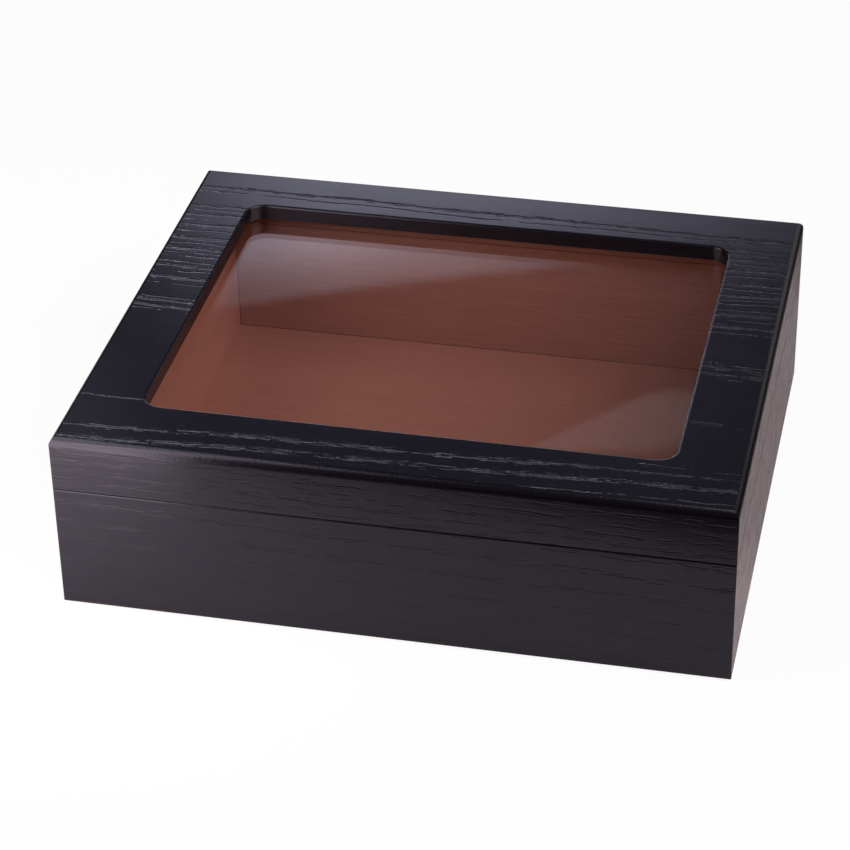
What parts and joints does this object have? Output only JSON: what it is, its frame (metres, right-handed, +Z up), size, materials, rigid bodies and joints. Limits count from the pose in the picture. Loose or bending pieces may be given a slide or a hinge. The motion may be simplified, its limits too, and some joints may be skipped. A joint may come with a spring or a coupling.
{
  "type": "glass-topped display box",
  "caption": "Low rectangular wooden display box with a hinged lid, a rounded-corner glass window in the lid and a cedar-lined interior.",
  "frame": {"origin": "underside of the felt, at the centre of the wooden footprint", "axes": "+X to the right along the width, +Y to the back where the hinges are, +Z up"},
  "size_m": [0.26, 0.2243, 0.076],
  "materials": {
    "black_ash": "black-stained open-pore ash veneer, satin",
    "cedar": "red-brown cedar, planed and unvarnished",
    "board": "raw fibreboard",
    "glass": "clear float glass",
    "seal": "black foam tape",
    "felt": "black felt",
    "brass": "polished brass",
    "brass_pin": "drawn brass",
    "screw_brass": "turned brass"
  },
  "bodies": {
    "base": {"base_front_panel": "black_ash", "base_back_panel": "black_ash", "base_left_panel": "black_ash", "base_right_panel": "black_ash", "bottom_board": "board", "base_felt": "felt", "floor_liner": "cedar", "base_liner_front": "cedar", "base_liner_back": "cedar", "base_liner_left": "cedar", "base_liner_right": "cedar", "left_hinge_base_leaf": "brass", "right_hinge_base_leaf": "brass", "left_hinge_pin": "brass_pin", "right_hinge_pin": "brass_pin", "base_hinge_screws": "screw_brass"},
    "lid": {"lid_top_panel": "black_ash", "lid_front_rail": "black_ash", "lid_back_rail": "black_ash", "lid_left_rail": "black_ash", "lid_right_rail": "black_ash", "window_glass": "glass", "glass_seal": "seal", "lid_liner_front": "cedar", "lid_liner_back": "cedar", "lid_liner_left": "cedar", "lid_liner_right": "cedar", "left_hinge_lid_leaf": "brass", "right_hinge_lid_leaf": "brass", "lid_hinge_screws": "screw_brass"}
  },
  "joints": [
    {"name": "lid_hinge", "type": "hinge", "parent": "base", "child": "lid", "pos_m": [0, 0.1119, 0.053], "axis": [-1, 0, 0], "range_deg": [0, 95]}
  ]
}
